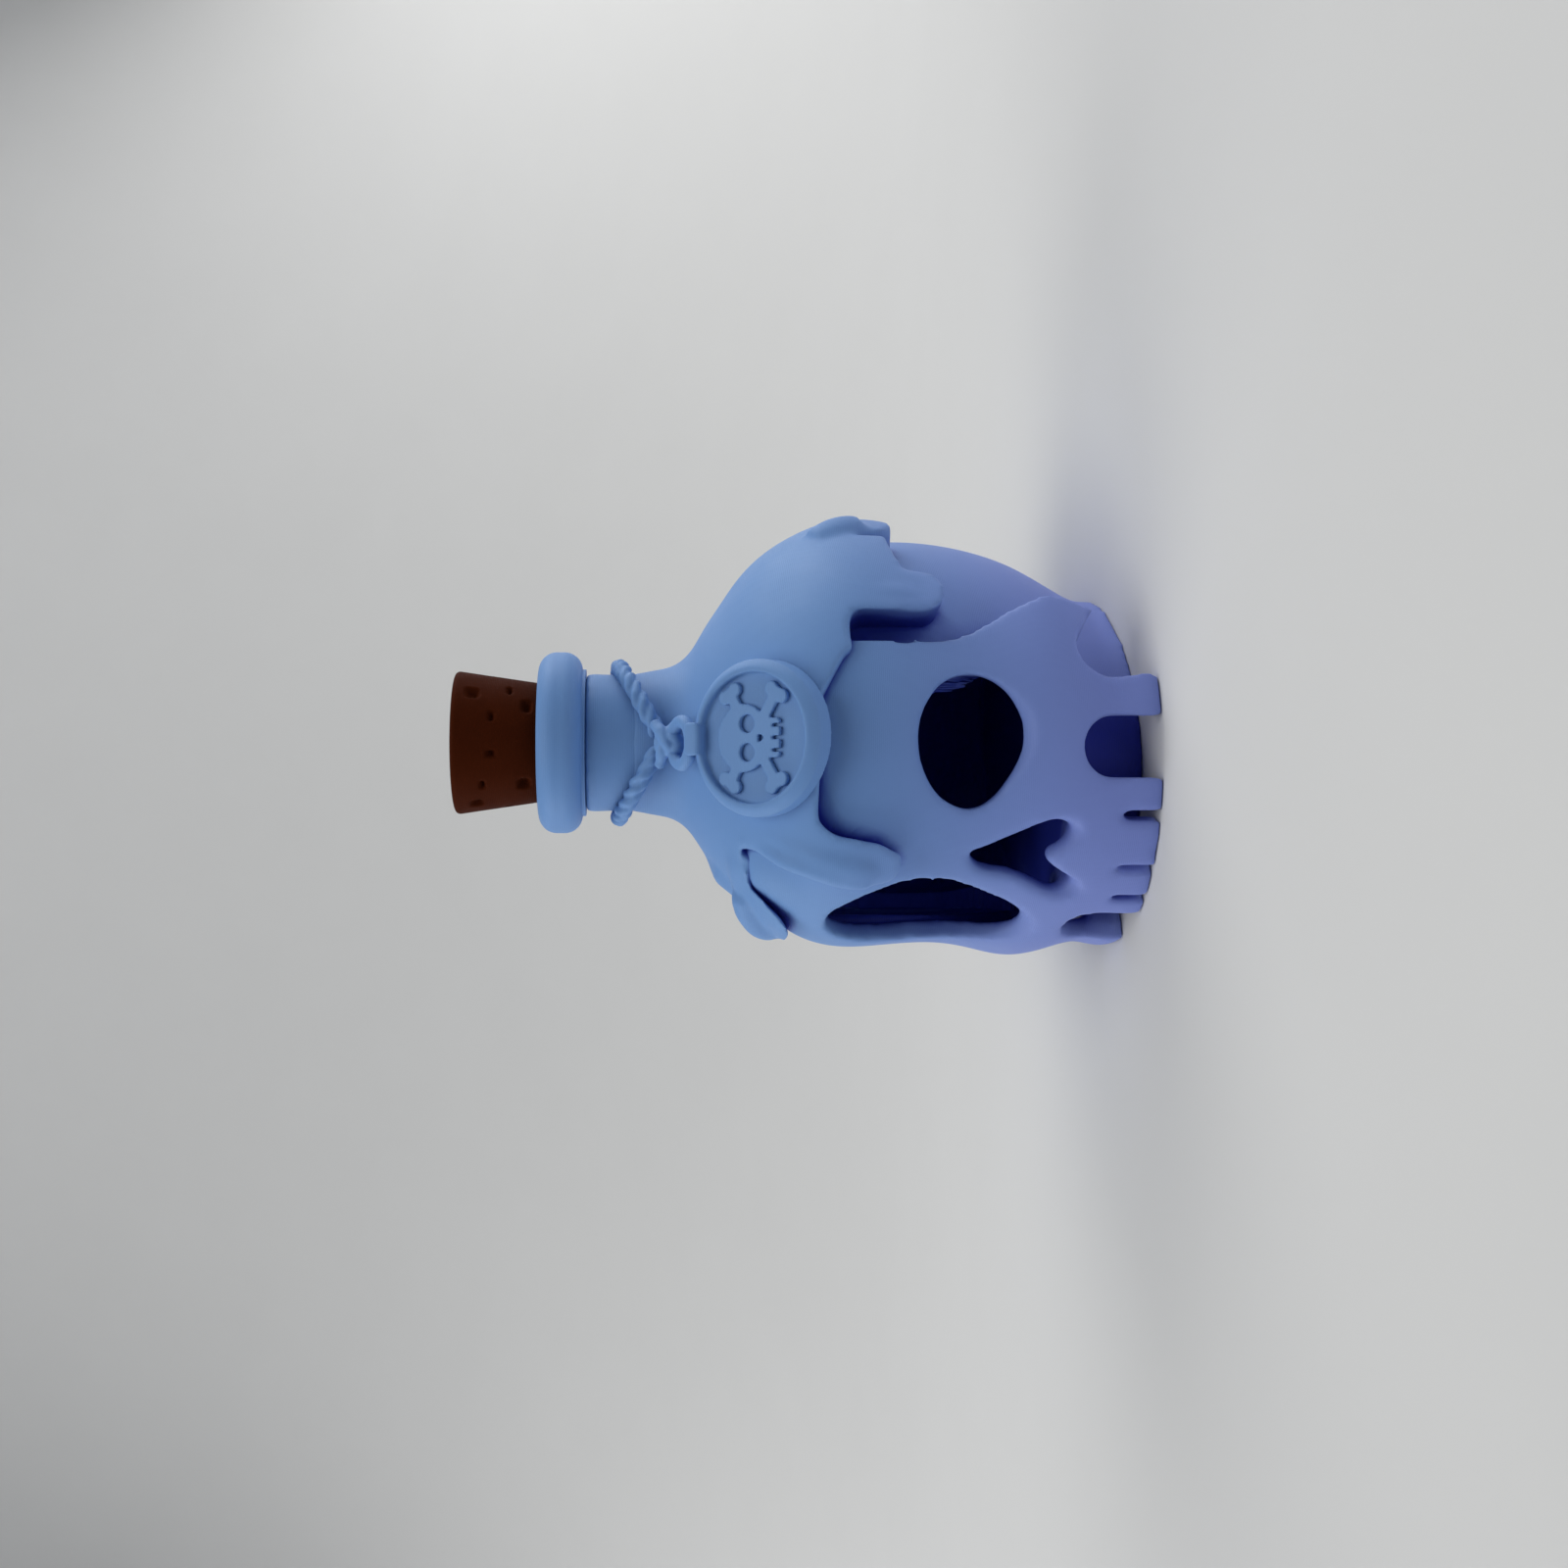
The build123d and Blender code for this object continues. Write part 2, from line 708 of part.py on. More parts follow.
# Emblem on the dish: a plain skull over two crossed bones, the old sign for poison
half_skull = emblem_skull_width / 2
knob_radius = emblem_bone_width * bone_knob_share
knob_reach = (emblem_bone_length - emblem_bone_width) / 2
eye_side = half_skull * emblem_eye_side_share
eye_rise = half_skull * emblem_eye_rise_share
with BuildPart() as medallion_emblem:
    with BuildSketch(dish_plane):
        for turn in (emblem_bone_degrees, -emblem_bone_degrees):
            SlotOverall(emblem_bone_length, emblem_bone_width, rotation=turn)
            with PolarLocations(knob_reach, 2, turn):
                with Locations((0, knob_radius), (0, -knob_radius)):
                    Circle(knob_radius)
        with Locations((0, half_skull * crown_rise_share)):
            Ellipse(half_skull, half_skull * crown_height_share)
        with Locations((0, -half_skull * jaw_drop_share)):
            RectangleRounded(
                half_skull * jaw_width_share, half_skull * jaw_height_share, half_skull * jaw_corner_share
            )
        with Locations((eye_side, eye_rise), (-eye_side, eye_rise)):
            Circle(half_skull * emblem_eye_share, mode=Mode.SUBTRACT)
        with Locations((0, -half_skull * emblem_nose_drop_share)):
            RegularPolygon(half_skull * emblem_nose_share, 3, rotation=30, mode=Mode.SUBTRACT)
        with Locations((0, -half_skull * emblem_gap_drop_share)):
            with GridLocations(half_skull * emblem_gap_pitch_share, 0, 3, 1):
                Rectangle(
                    half_skull * emblem_gap_width_share,
                    half_skull * emblem_gap_height_share,
                    mode=Mode.SUBTRACT,
                )
    extrude(amount=emblem_height)
medallion_emblem.part.label = "medallion_emblem"
export_step(medallion_emblem.part, "parts/medallion_emblem.step")

# Ring between the knot and the medallion
ring_plane = Plane(
    origin=ring_middle,
    x_dir=medallion_facing.x_dir,
    z_dir=upwards * cos(rise) + outwards * sin(rise),
)
with BuildPart() as ring_body:
    with BuildSketch(Plane(origin=ring_middle, x_dir=ring_plane.x_dir, z_dir=ring_inwards)):
        with Locations((ring_radius, 0)):
            Circle(ring_wire_radius)
    revolve(axis=Axis(ring_middle, ring_plane.z_dir))
with BuildPart() as hanging_ring:
    add(ring_body.part)
    add(medallion_rim.part, mode=Mode.SUBTRACT)
    add(medallion_disc.part, mode=Mode.SUBTRACT)
hanging_ring.part.label = "hanging_ring"
export_step(hanging_ring.part, "parts/hanging_ring.step")

# Clasp, a band over the rim's top and the ring's foot
clasp_back = medallion_rim_height + clasp_wall
clasp_low = dish_radius - clasp_inside
clasp_high = medallion_radius + clasp_outside
with BuildPart() as rim_clasp:
    with BuildSketch(medallion_plane.offset(-clasp_back)):
        with Locations((0, (clasp_low + clasp_high) / 2)):
            RectangleRounded(clasp_width, clasp_high - clasp_low, clasp_wall)
    extrude(amount=clasp_back + clasp_wall)
    add(medallion_rim.part, mode=Mode.SUBTRACT)
    add(medallion_disc.part, mode=Mode.SUBTRACT)
    add(ring_body.part, mode=Mode.SUBTRACT)
rim_clasp.part.label = "rim_clasp"
export_step(rim_clasp.part, "parts/rim_clasp.step")

# Rope round the neck, level behind and falling in a V to the knot
rope_side_height = neck_top - rope_drop
rope_front_height = knot_height + rope_over_knot


def rope_point(azimuth, height):
    """Point of the rope's middle at an azimuth."""
    return facing(azimuth, rope_path_radius).origin + upwards * height


right_side = rope_point(medallion_azimuth + 90, rope_side_height)
left_side = rope_point(medallion_azimuth - 90, rope_side_height)
back_middle = rope_point(medallion_azimuth + 180, rope_side_height)
right_end = rope_point(medallion_azimuth + rope_gap_degrees, rope_front_height)
left_end = rope_point(medallion_azimuth - rope_gap_degrees, rope_front_height)
with BuildPart() as neck_rope:
    with BuildLine() as rope_path:
        back_turn = ThreePointArc(left_side, back_middle, right_side)
        TangentArc(right_side, right_end, tangent=back_turn % 1)
        TangentArc(left_side, left_end, tangent=-(back_turn % 0))
    with BuildSketch(Plane(origin=rope_path.wire() @ 0, z_dir=rope_path.wire() % 0)):
        Circle(rope_radius)
    sweep(path=rope_path.wire())
    add(flask_outside, mode=Mode.SUBTRACT)
    add(coat_outside, mode=Mode.SUBTRACT)
neck_rope.part.label = "neck_rope"
export_step(neck_rope.part, "parts/neck_rope.step")

# Knot, a rounded turn over the rope's ends and round the ring
knot_plane = Plane(origin=knot_middle, z_dir=medallion_facing.x_dir)
knot_half = knot_length / 2 - knot_radius
with BuildPart() as rope_knot:
    with Locations(knot_plane):
        Cylinder(knot_radius, 2 * knot_half)
    with Locations(knot_plane.offset(knot_half), knot_plane.offset(-knot_half)):
        Sphere(knot_radius)
    add(flask_outside, mode=Mode.SUBTRACT)
    add(coat_outside, mode=Mode.SUBTRACT)
    add(ring_body.part, mode=Mode.SUBTRACT)
    add(neck_rope.part, mode=Mode.SUBTRACT)
rope_knot.part.label = "rope_knot"
export_step(rope_knot.part, "parts/rope_knot.step")
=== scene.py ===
"""Dresses the skull-shaped poison bottle: fused print, slime coat, rope, medallion and cork."""

from math import atan2, cos, radians, sin, tau

import bmesh
import bpy
from bpy.props import FloatProperty, FloatVectorProperty, IntProperty, PointerProperty
from mathutils import Matrix, Vector, noise
from mathutils.bvhtree import BVHTree


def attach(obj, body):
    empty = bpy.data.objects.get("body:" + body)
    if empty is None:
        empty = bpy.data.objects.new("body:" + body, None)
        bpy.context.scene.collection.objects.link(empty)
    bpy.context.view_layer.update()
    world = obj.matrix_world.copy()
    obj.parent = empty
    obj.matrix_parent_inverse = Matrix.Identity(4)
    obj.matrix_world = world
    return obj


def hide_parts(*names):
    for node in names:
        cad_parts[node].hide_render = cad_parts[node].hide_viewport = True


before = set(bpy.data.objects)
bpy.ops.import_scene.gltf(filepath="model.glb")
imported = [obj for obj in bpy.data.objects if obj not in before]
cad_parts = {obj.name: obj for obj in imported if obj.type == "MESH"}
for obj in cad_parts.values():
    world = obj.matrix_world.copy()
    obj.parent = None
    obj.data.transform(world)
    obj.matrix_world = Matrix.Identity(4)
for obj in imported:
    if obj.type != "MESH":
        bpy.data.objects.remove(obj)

bl_info = {
    "name": "Skull Poison Bottle",
    "version": (1, 0, 0),
    "blender": (4, 5, 0),
    "location": "View3D > Sidebar > Poison Bottle",
    "description": "Builds the printed look of a skull-shaped poison bottle on its CAD frame",
    "category": "Object",
}

MM = 0.001
# Lumps on the rope, per metre
LUMPS = 900.0
# Rings of looks away from a surface, each a tilt and a number of looks, the wide ring first
LOOK_RINGS = ((radians(58), 8), (radians(25), 4))
# How far above its point a look starts
LOOK_LIFT = 0.3 * MM
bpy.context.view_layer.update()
BODY = "bottle"
STOPPER = "stopper"
SKULL_NODES = (
    "bottle_flask", "skull_face", "side_tooth_right", "front_tooth_1", "front_tooth_2",
    "front_tooth_3", "front_tooth_4", "side_tooth_left",
)


class PrintSettings(bpy.types.PropertyGroup):
    """Sizes and colours of the blue print."""

    grain: FloatProperty(
        name="Grain", description="Size of the cells that the print is fused from",
        default=0.38 * MM, unit="LENGTH",
    )
    rounding: IntProperty(
        name="Rounding", description="How often the print's edges are eased", default=7, min=0,
    )
    triangles: IntProperty(
        name="Triangles", description="How many triangles the skull keeps",
        default=190000, min=1000,
    )
    slime_rounding: IntProperty(
        name="Slime rounding", description="How often the slime's edges are eased",
        default=6, min=0,
    )
    slime_bedding: FloatProperty(
        name="Slime bedding", description="How deep the slime reaches under the skull's surface",
        default=0.9 * MM, unit="LENGTH",
    )
    trim_grain: FloatProperty(
        name="Trim grain", description="Size of the cells of the rope and the medallion",
        default=0.13 * MM, unit="LENGTH",
    )
    trim_rounding: IntProperty(
        name="Trim rounding", description="How often the trim's edges are eased", default=3, min=0,
    )
    clasp_rounding: IntProperty(
        name="Clasp rounding", description="How often the clasp's edges are eased",
        default=70, min=0,
    )
    rim_dome: FloatProperty(
        name="Rim dome", description="How far the medallion's rim falls towards its outside",
        default=1.0 * MM, unit="LENGTH",
    )
    ring_swell: FloatProperty(
        name="Ring swell", description="How much thicker than its solid the hanging ring is",
        default=0.12 * MM, unit="LENGTH",
    )
    ring_shift: FloatProperty(
        name="Ring shift", description="How far to the left the hanging ring sits",
        default=0.35 * MM, unit="LENGTH",
    )
    hollow_width: FloatProperty(
        name="Hollow width", description="Half width of the clear space behind the face",
        default=19.3 * MM, unit="LENGTH",
    )
    hollow_depth: FloatProperty(
        name="Hollow depth", description="How far forward that space reaches",
        default=21.4 * MM, unit="LENGTH",
    )
    inner_width: FloatProperty(
        name="Inner width", description="How far from the axis the inside behind the eyes reaches",
        default=20.6 * MM, unit="LENGTH",
    )
    layer: FloatProperty(
        name="Layer", description="Height of one printed layer", default=0.2 * MM, unit="LENGTH",
    )
    top_colour: FloatVectorProperty(
        name="Top colour", description="Plastic at the lip", subtype="COLOR",
        default=(0.143, 0.287, 0.572), min=0, max=1,
    )
    foot_colour: FloatVectorProperty(
        name="Foot colour", description="Plastic at the teeth", subtype="COLOR",
        default=(0.19, 0.25, 0.60), min=0, max=1,
    )
    # Painted shade: the dark blue that the plastic is mixed towards where its surroundings block
    # the light
    painted_shade_colour: FloatVectorProperty(
        name="Hollow colour", description="Plastic deep inside the hollow", subtype="COLOR",
        default=(0.010, 0.020, 0.30), min=0, max=1,
    )


class RopeSettings(bpy.types.PropertyGroup):
    """Sizes of the rope and its knot."""

    azimuth: FloatProperty(
        name="Azimuth", description="Side of the skull on which the medallion hangs",
        default=radians(33), unit="ROTATION",
    )
    reach: FloatProperty(
        name="Reach", description="From the neck's axis to the rope's middle",
        default=8.75 * MM, unit="LENGTH",
    )
    back_height: FloatProperty(
        name="Back height", description="Height of the rope's middle behind the neck",
        default=56.2 * MM, unit="LENGTH",
    )
    front_height: FloatProperty(
        name="Front height", description="Height of its middle beside the knot",
        default=51.8 * MM, unit="LENGTH",
    )
    gap: FloatProperty(
        name="Gap", description="Angle from the knot's middle to the rope's end",
        default=radians(6), unit="ROTATION",
    )
    strand: FloatProperty(
        name="Strand", description="Radius of one strand", default=0.54 * MM, unit="LENGTH",
    )
    unevenness: FloatProperty(
        name="Unevenness", description="How far the rope's surface wanders",
        default=0.16 * MM, unit="LENGTH",
    )
    wind: FloatProperty(
        name="Wind", description="How far the strands run from the rope's middle",
        default=0.50 * MM, unit="LENGTH",
    )
    lay: FloatProperty(
        name="Lay", description="Length in which a strand turns once",
        default=5.4 * MM, unit="LENGTH",
    )


class CorkSettings(bpy.types.PropertyGroup):
    """Colour and pores of the cork."""

    colour: FloatVectorProperty(
        name="Colour", description="Brown plastic of the cork", subtype="COLOR",
        default=(0.057, 0.0105, 0.0027), min=0, max=1,
    )
    grain: FloatProperty(
        name="Grain", description="Size of the cells that the cork is cut from",
        default=0.2 * MM, unit="LENGTH",
    )
    pore_depth: FloatProperty(
        name="Pore depth", description="Depth of the pores", default=0.75 * MM, unit="LENGTH",
    )


class StageSettings(bpy.types.PropertyGroup):
    """Camera and studio."""

    azimuth: FloatProperty(
        name="Azimuth", description="Camera's side of the skull",
        default=radians(31.6), unit="ROTATION",
    )
    distance: FloatProperty(
        name="Distance", description="From the neck's axis to the camera",
        default=195.5 * MM, unit="LENGTH",
    )
    height: FloatProperty(
        name="Height", description="Camera's height over the floor",
        default=55.3 * MM, unit="LENGTH",
    )
    lens: FloatProperty(
        name="Lens", description="Focal length on a 36 mm sensor", default=38.25, unit="CAMERA",
    )
    backdrop: FloatVectorProperty(
        name="Backdrop", description="Pale paper of the sweep", subtype="COLOR",
        default=(0.63, 0.63, 0.62), min=0, max=1,
    )
    bounce: FloatVectorProperty(
        name="Bounce", description="How much of the light the paper throws back", subtype="COLOR",
        default=(0.78, 0.79, 0.82), min=0, max=1,
    )


class Signal:
    """A shader value that Python's operators work on, each one laying a Math node."""

    def __init__(self, finish, socket):
        self.finish = finish
        self.socket = socket

    def maths(self, operation, *values):
        return self.finish.lay("ShaderNodeMath", {"operation": operation}, dict(enumerate(values)))

    def __add__(self, other):
        return self.maths("ADD", self, other)

    def __radd__(self, other):
        return self.maths("ADD", other, self)

    def __sub__(self, other):
        return self.maths("SUBTRACT", self, other)

    def __rsub__(self, other):
        return self.maths("SUBTRACT", other, self)

    def __mul__(self, other):
        return self.maths("MULTIPLY", self, other)

    def __rmul__(self, other):
        return self.maths("MULTIPLY", other, self)

    def __truediv__(self, other):
        return self.maths("DIVIDE", self, other)

    def sine(self):
        return self.maths("SINE", self)


class Finish:
    """A material under construction."""

    def __init__(self, name):
        self.material = bpy.data.materials.new(name)
        self.material.use_nodes = True
        self.tree = self.material.node_tree
        self.tree.nodes.clear()

    def lay(self, kind, settings=None, inputs=None, output=0):
        """Adds a node, gives it its settings and inputs, and returns one of its outputs."""
        node = self.tree.nodes.new(kind)
        for key, value in (settings or {}).items():
            setattr(node, key, value)
        for key, value in (inputs or {}).items():
            if isinstance(value, Signal):
                self.tree.links.new(value.socket, node.inputs[key])
            else:
                node.inputs[key].default_value = value
        return Signal(self, node.outputs[output]) if node.outputs else None

    def place(self):
        """Object coordinates."""
        return self.lay("ShaderNodeTexCoord", output="Object")

    def noise(self, scale, detail, roughness=0.5):
        """Noise over the object's coordinates."""
        inputs = {"Vector": self.place(), "Scale": scale, "Detail": detail, "Roughness": roughness}
        return self.lay("ShaderNodeTexNoise", None, inputs, "Fac")

    def stained(self, share, colour, stain):
        """Colour multiplied by a stain, by a share."""
        colour = colour if isinstance(colour, Signal) else (*colour, 1)
        return self.lay(
            "ShaderNodeMix", {"data_type": "RGBA", "blend_type": "MULTIPLY"},
            {0: share, 6: colour, 7: (*stain, 1)}, 2,
        )

    def layers(self):
        """Wave that rises and falls once in each printed layer."""
        height = self.lay("ShaderNodeSeparateXYZ", None, {0: self.place()}, "Z")
        return ((height / bpy.context.scene.print_settings.layer) * tau).sine()

    def blend(self, share, first, second):
        """Colour between two, by a share."""
        colours = [c if isinstance(c, Signal) else (*c, 1) for c in (first, second)]
        return self.lay(
            "ShaderNodeMix", {"data_type": "RGBA"}, {0: share, 6: colours[0], 7: colours[1]}, 2
        )

    def surface(self, inputs):
        """Closes the material with a Principled shader."""
        shader = self.lay("ShaderNodeBsdfPrincipled", None, inputs)
        self.lay("ShaderNodeOutputMaterial", None, {"Surface": shader})
        return self.material


def shared(name, make):
    """The material of a name, made once."""
    return bpy.data.materials.get(name) or make(name)


def printed_plastic(name):
    """Matte blue plastic that turns lilac towards the foot, with its layers showing and painted
    shade in its hollows and recesses.
    """
    settings = bpy.context.scene.print_settings
    finish = Finish(name)
    height = finish.lay("ShaderNodeSeparateXYZ", None, {0: finish.place()}, "Z")
    rise = finish.lay(
        "ShaderNodeMapRange",
        {"interpolation_type": "SMOOTHSTEP", "clamp": True},
        {"Value": height, "From Min": 2 * MM, "From Max": 40 * MM},
    )
    plain = finish.blend(rise, settings.foot_colour, settings.top_colour)
    cloud = finish.noise(90.0, 4.0)
    dark = finish.stained((cloud - 0.35) * 0.35, plain, (0.86, 0.86, 0.88))
    # Painted shade: the share of blocked looks in the hollow attribute darkens the colour in
    # hollows, recesses and the skull's inside
    inside = finish.lay("ShaderNodeAttribute", {"attribute_name": "hollow"}, None, "Fac")
    depth = finish.lay(
        "ShaderNodeMapRange", {"clamp": True},
        {"Value": inside, "From Min": 0.27, "From Max": 0.77, "To Max": 0.95},
    )
    deep = finish.blend(depth, dark, settings.painted_shade_colour)
    waver = finish.noise(260.0, 2.0)
    wall = finish.layers() * (0.35 + waver * 0.5)
    fine = finish.noise(5200.0, 2.0)
    bump = finish.lay(
        "ShaderNodeBump", None,
        {"Strength": 0.22, "Distance": 0.05 * MM, "Height": wall + fine * 0.8},
    )
    return finish.surface({
        "Base Color": deep,
        "Roughness": 0.46 + waver * 0.16,
        "Normal": bump,
        "IOR": 1.46,
        "Specular IOR Level": 0.25,
    })


def cork_plastic(name):
    """Matte brown plastic with a faint mottle."""
    settings = bpy.context.scene.cork_settings
    finish = Finish(name)
    mottle = finish.noise(420.0, 5.0, 0.6)
    shade = finish.stained(mottle * 0.7, settings.colour, (0.62, 0.55, 0.5))
    fine = finish.noise(4200.0, 3.0)
    bump = finish.lay(
        "ShaderNodeBump", None,
        {"Strength": 0.3, "Distance": 0.05 * MM, "Height": finish.layers() * 0.5 + fine + mottle},
    )
    return finish.surface({
        "Base Color": shade,
        "Roughness": 0.5 + mottle * 0.2,
        "Normal": bump,
        "IOR": 1.46,
        "Specular IOR Level": 0.02,
    })


def blue():
    return shared("printed_blue_plastic", printed_plastic)


def brown():
    return shared("printed_brown_plastic", cork_plastic)


def merged_copy(*names):
    """Bmesh of copies of CAD nodes, each with its doubles merged."""
    whole = bmesh.new()
    for name in names:
        whole.from_mesh(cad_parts[name].data)
    bmesh.ops.remove_doubles(whole, verts=whole.verts, dist=0.001 * MM)
    return whole


def loose_object(name, source):
    """Object that holds a bmesh, which is freed."""
    mesh = bpy.data.meshes.new(name)
    source.to_mesh(mesh)
    source.free()
    piece = bpy.data.objects.new(name, mesh)
    bpy.context.scene.collection.objects.link(piece)
    return piece


def applied(piece):
    """Bmesh of an object with its modifiers applied. The object goes."""
    bpy.context.view_layer.update()
    graph = bpy.context.evaluated_depsgraph_get()
    mesh = bpy.data.meshes.new_from_object(piece.evaluated_get(graph))
    result = bmesh.new()
    result.from_mesh(mesh)
    bpy.data.meshes.remove(mesh)
    bpy.data.objects.remove(piece)
    return result


def fused(source, cell):
    """Bmesh of the outside of several overlapping bodies, rebuilt from even cells."""
    piece = loose_object("fusing", source)
    remesh = piece.modifiers.new("cells", "REMESH")
    remesh.mode = "VOXEL"
    remesh.voxel_size = cell
    return applied(piece)


def thinned(source, triangles):
    """Bmesh with about a number of triangles left."""
    share = triangles / sum(len(face.verts) - 2 for face in source.faces)
    piece = loose_object("thinning", source)
    piece.modifiers.new("thin", "DECIMATE").ratio = share
    return applied(piece)


def cut(source, cutter):
    """Bmesh of a body less a cutter."""
    tool = loose_object("cutter", cutter)
    piece = loose_object("cutting", source)
    difference = piece.modifiers.new("cut", "BOOLEAN")
    difference.operation = "DIFFERENCE"
    difference.solver = "EXACT"
    difference.use_self = True
    difference.object = tool
    result = applied(piece)
    bpy.data.objects.remove(tool)
    return result


def eased(source, times):
    """Rounds a fine mesh by moving each point towards its neighbours."""
    for _ in range(times):
        bmesh.ops.smooth_vert(
            source, verts=source.verts, factor=0.5,
            use_axis_x=True, use_axis_y=True, use_axis_z=True,
        )


def uneven(source, reach):
    """Makes a surface wander in lumps, by up to a reach."""
    source.normal_update()
    for vertex in source.verts:
        vertex.co += vertex.normal * reach * noise.noise(vertex.co * LUMPS)


def corded(cords, kind="POLY", end_share=1.0):
    """Bmesh of round cords, each a radius and a list of points, with thinner ends by a share."""
    curve = bpy.data.curves.new("cords", "CURVE")
    curve.dimensions = "3D"
    curve.bevel_depth = MM
    curve.bevel_resolution = 4
    curve.use_fill_caps = True
    for radius, path in cords:
        spline = curve.splines.new(kind)
        spline.points.add(len(path) - 1)
        for point, place in zip(spline.points, path):
            point.co = (*place, 1)
            point.radius = radius / MM
        for point in (spline.points[0], spline.points[-1]):
            point.radius *= end_share
        spline.use_endpoint_u = True
        spline.order_u = 3
        spline.resolution_u = 8
    piece = bpy.data.objects.new("cords", curve)
    bpy.context.scene.collection.objects.link(piece)
    return applied(piece)


def joined(*sources):
    """One bmesh of several, which are freed."""
    whole = bmesh.new()
    for source in sources:
        mesh = bpy.data.meshes.new("part")
        source.to_mesh(mesh)
        source.free()
        whole.from_mesh(mesh)
        bpy.data.meshes.remove(mesh)
    return whole


def heading(azimuth):
    """Level direction outwards at an azimuth."""
    return Vector((sin(azimuth), -cos(azimuth), 0))


def bow(start, course, end, steps):
    """Points on the arc that leaves a start on a course and meets an end."""
    chord = end - start
    aside = chord - course * chord.dot(course)
    radius = chord.length_squared / (2 * aside.length)
    inwards = aside.normalized()
    middle = start + inwards * radius
    sweep = 2 * atan2(aside.length, chord.dot(course))
    turns = [sweep * step / steps for step in range(steps + 1)]
    return [middle - inwards * radius * cos(turn) + course * radius * sin(turn) for turn in turns]


def looks_of(normal):
    """Directions of the looks away from a surface, ring by ring."""
    first = normal.orthogonal().normalized()
    second = normal.cross(first)
    looks = []
    for tilt, count in LOOK_RINGS:
        for step in range(count):
            turn = tau * step / count
            aside = first * cos(turn) + second * sin(turn)
            looks.append(normal * cos(tilt) + aside * sin(tilt))
    return looks


def hollowed(sources, reach, passes=4):
    """Gives each point of some bodies the share of its looks that they block, evened in passes, for
    the material to paint as shade.

    A point with no look blocked among every other one of the wide ring gets none.
    """
    skins = [BVHTree.FromBMesh(source) for source in sources]
    wide_count = LOOK_RINGS[0][1]

    def blocked(start, look):
        return any(skin.ray_cast(start, look, reach)[0] is not None for skin in skins)

    for source in sources:
        layer = source.verts.layers.float.new("hollow")
        for vertex in source.verts:
            looks = looks_of(vertex.normal)
            start = vertex.co + vertex.normal * LOOK_LIFT
            wide = [blocked(start, look) for look in looks[:wide_count:2]]
            if any(wide):
                others = looks[1:wide_count:2] + looks[wide_count:]
                rest = [blocked(start, look) for look in others]
                vertex[layer] = (sum(wide) + sum(rest)) / len(looks)
        for _ in range(passes):
            shares = []
            for vertex in source.verts:
                near = [edge.other_vert(vertex)[layer] for edge in vertex.link_edges]
                shares.append((vertex[layer] + sum(near)) / (1 + len(near)))
            for vertex, share in zip(source.verts, shares):
                vertex[layer] = share


def finished(name, source, material, body, nodes=()):
    """Closes a piece: smooth faces, material, slot, body and the nodes that it stands for."""
    for face in source.faces:
        face.smooth = True
    piece = loose_object(name, source)
    piece.data.materials.clear()
    piece.data.materials.append(material)
    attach(piece, body)
    if nodes:
        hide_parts(*nodes)
    return piece


def dressed(node, material):
    """A CAD node that keeps its shape and takes a material."""
    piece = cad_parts[node]
    piece.data.materials.clear()
    piece.data.materials.append(material)


class BOTTLE_OT_skull(bpy.types.Operator):
    """Fuse flask, face and teeth into one print with eased edges"""

    bl_idname = "bottle.skull"
    bl_label = "Skull and Flask"

    # Dome that fills the bay under the slime: azimuth in degrees, then its distance from the axis,
    # its height, how far it spreads and how much it rises, in mm. Only what faces upwards rises.
    bay_place = (-22, 17.2, 41.2)
    bay_width = 8.0
    bay_rise = 1.55
    bay_upwards = 0.2
    # Webs that close the gaps between the teeth behind their fronts: azimuth in degrees, distance
    # from the axis, top's height and radius in mm
    webs = ((-1.0, 22.6, 5.0, 0.9), (-11.1, 22.4, 5.0, 0.8))
    web_steps = 4
    # How far inwards the tooth beside the left arch is deepened, in mm
    tooth_depth = 1.3
    # Lowest and highest points, in mm, and the share of the depth, from which the hollow is cleared
    clear_floor = 10
    clear_ceiling = 34
    clear_start = 0.35

    def bay_middle(self):
        turn, reach, height = self.bay_place
        return heading(radians(turn)) * reach * MM + Vector((0, 0, height * MM))

    def additions(self):
        """Bmeshes of the webs and of a deeper copy of the tooth beside the left arch."""
        cords = []
        for turn, reach, top, radius in self.webs:
            foot = heading(radians(turn)) * reach * MM
            heights = [top * MM * step / self.web_steps for step in range(self.web_steps + 1)]
            cords.append((radius * MM, [foot + Vector((0, 0, height)) for height in heights]))
        tooth = merged_copy("side_tooth_right")
        middle = sum((vertex.co for vertex in tooth.verts), Vector()) / len(tooth.verts)
        outwards = Vector((middle.x, middle.y, 0)).normalized()
        bmesh.ops.translate(tooth, verts=tooth.verts, vec=-outwards * self.tooth_depth * MM)
        return corded(cords), tooth

    def execute(self, context):
        settings = context.scene.print_settings
        source = fused(joined(merged_copy(*SKULL_NODES), *self.additions()), settings.grain)
        eased(source, settings.rounding)
        for vertex in source.verts:
            place = vertex.co
            place.z = max(place.z, 0.0)
            across, along = place.x / settings.hollow_width, place.y / settings.hollow_depth
            reach = Vector((across, along)).length
            ahead = place.y < -self.clear_start * settings.hollow_depth
            if reach < 1 and ahead and self.clear_floor * MM < place.z < self.clear_ceiling * MM:
                place.x /= reach
                place.y /= reach
        source.normal_update()
        for vertex in source.verts:
            gap = (vertex.co - self.bay_middle()).length / (self.bay_width * MM)
            if gap < 1 and vertex.normal.z > self.bay_upwards:
                vertex.co += vertex.normal * self.bay_rise * MM * (1 - gap * gap) ** 2
        source = thinned(source, settings.triangles)
        finished("skull_flask", source, blue(), BODY, SKULL_NODES)
        return {"FINISHED"}


